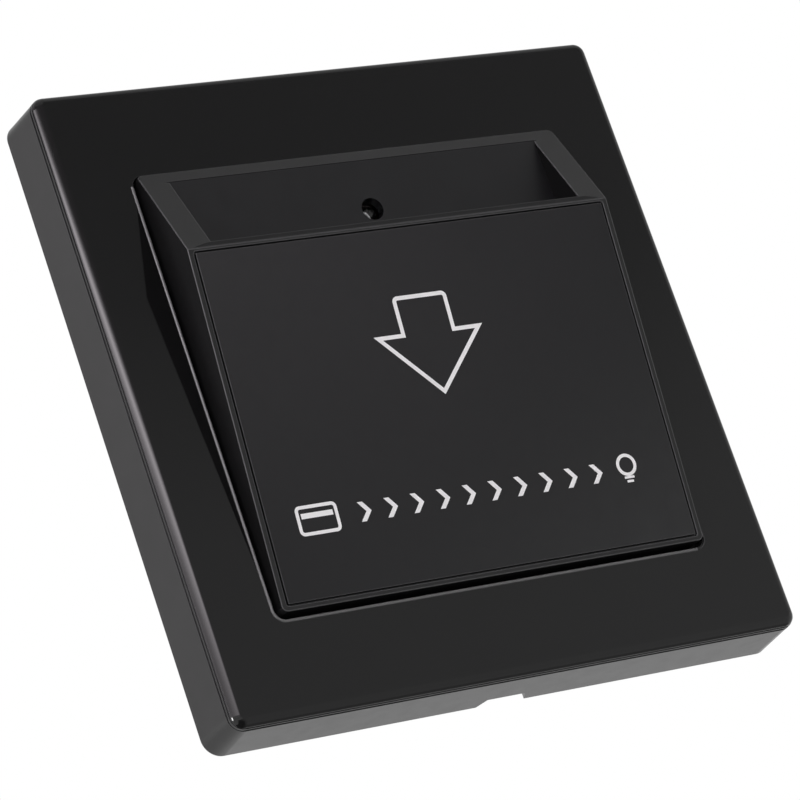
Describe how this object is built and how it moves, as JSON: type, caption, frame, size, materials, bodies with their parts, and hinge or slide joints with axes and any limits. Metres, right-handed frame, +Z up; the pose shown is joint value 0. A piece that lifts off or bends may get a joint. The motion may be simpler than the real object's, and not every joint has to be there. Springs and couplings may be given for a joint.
{
  "type": "hotel key card switch",
  "caption": "Flush wall switch with a gloss black frame and a wedge-shaped card pocket; a key card slid in from above pushes a sprung lever that closes the switch.",
  "frame": {"origin": "middle of the two wall fixing holes, on the wall's surface", "axes": "+X right along the wall, +Z up the wall, -Y out of the wall into the room"},
  "size_m": [0.086, 0.049, 0.089],
  "materials": {
    "frame_gloss": "polished",
    "holder_satin": "satin",
    "panel_matt": "fine matt grain",
    "pocket_matt": "matt",
    "mount_plastic": "matt",
    "clip_steel": "plain spring steel",
    "housing_plastic": "matt",
    "screw_steel": "zinc plated",
    "lever_plastic": "smooth",
    "spring_bronze": "plain",
    "pivot_steel": "ground",
    "switch_plastic": "matt",
    "plunger_plastic": "smooth",
    "pin_brass": "tinned",
    "board_laminate": "solder mask",
    "led_resin": "clear",
    "spacer_nylon": "matt",
    "lead_tin": "tinned",
    "relay_case": "smooth",
    "film_case": "smooth",
    "can_sleeve": "sleeve",
    "resistor_lacquer": "lacquer",
    "block_plastic": "smooth",
    "clamp_brass": "machined",
    "mark_ink": "screen-printed ink"
  },
  "bodies": {
    "base": {"mounting_frame": "mount_plastic", "frame_clips": "clip_steel", "rear_housing": "housing_plastic", "housing_screws": "screw_steel", "pivot_pin": "pivot_steel", "lever_spring": "spring_bronze", "switch_case": "switch_plastic", "switch_pins": "pin_brass", "circuit_board": "board_laminate", "board_screws": "screw_steel", "indicator_led": "led_resin", "led_spacer": "spacer_nylon", "led_leads": "lead_tin", "relay": "relay_case", "relay_pins": "pin_brass", "film_capacitor": "film_case", "smoothing_capacitor": "can_sleeve", "series_resistor": "resistor_lacquer", "terminal_block": "block_plastic", "terminal_clamps": "clamp_brass", "terminal_screws": "screw_steel", "terminal_tails": "clamp_brass"},
    "front": {"face_frame": "frame_gloss", "card_holder": "holder_satin", "pocket_back": "pocket_matt", "front_panel": "panel_matt"},
    "lever": {"card_lever": "lever_plastic"},
    "plunger": {"switch_plunger": "plunger_plastic"}
  },
  "joints": [
    {"name": "front_release", "type": "slide", "parent": "base", "child": "front", "axis": [0, -1, 0], "range_m": [0, 0.03]},
    {"name": "lever_tilt", "type": "hinge", "parent": "base", "child": "lever", "pos_m": [0, -0.003, -0.004], "axis": [1, 0, 0], "range_deg": [0, 7], "stiffness_Nm_per_rad": 0.1, "springref_deg": -5.73, "deforming": ["lever_spring"]},
    {"name": "plunger_press", "type": "slide", "parent": "base", "child": "plunger", "axis": [0, 1, 0], "range_m": [0, 0.0013]}
  ],
  "couplings": [
    {"joint": "plunger_press", "follows": "lever_tilt", "m_per_rad": 0.01}
  ]
}
